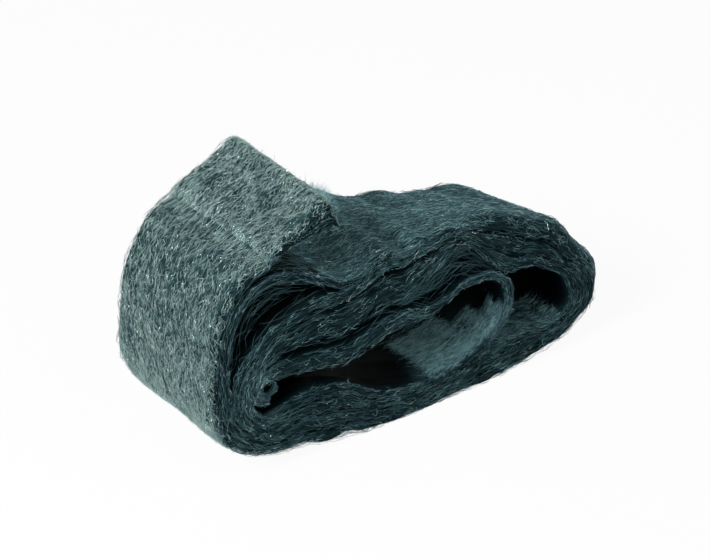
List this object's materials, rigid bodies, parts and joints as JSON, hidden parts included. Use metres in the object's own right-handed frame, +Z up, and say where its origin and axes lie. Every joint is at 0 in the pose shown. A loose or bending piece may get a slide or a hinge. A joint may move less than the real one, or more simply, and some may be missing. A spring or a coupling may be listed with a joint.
{
  "type": "steel wool pad",
  "caption": "Hank of steel wool: a long flat band of matted fibres wound into a loose flattened roll, with its free end lifted at the top.",
  "frame": {"origin": "middle of the bounding box in X and Y, on the plane that the roll rests on", "axes": "+X along the flattened roll, away from its tall left end; +Y across the band, from the pictured side face to the far one; +Z up"},
  "size_m": [0.2362, 0.0822, 0.136],
  "materials": {
    "steel_wool": "matted fine fibres, dull grey with a slight blue green cast and small bright glints"
  },
  "bodies": {
    "root": {"steel_wool_band": "steel_wool"}
  },
  "joints": []
}
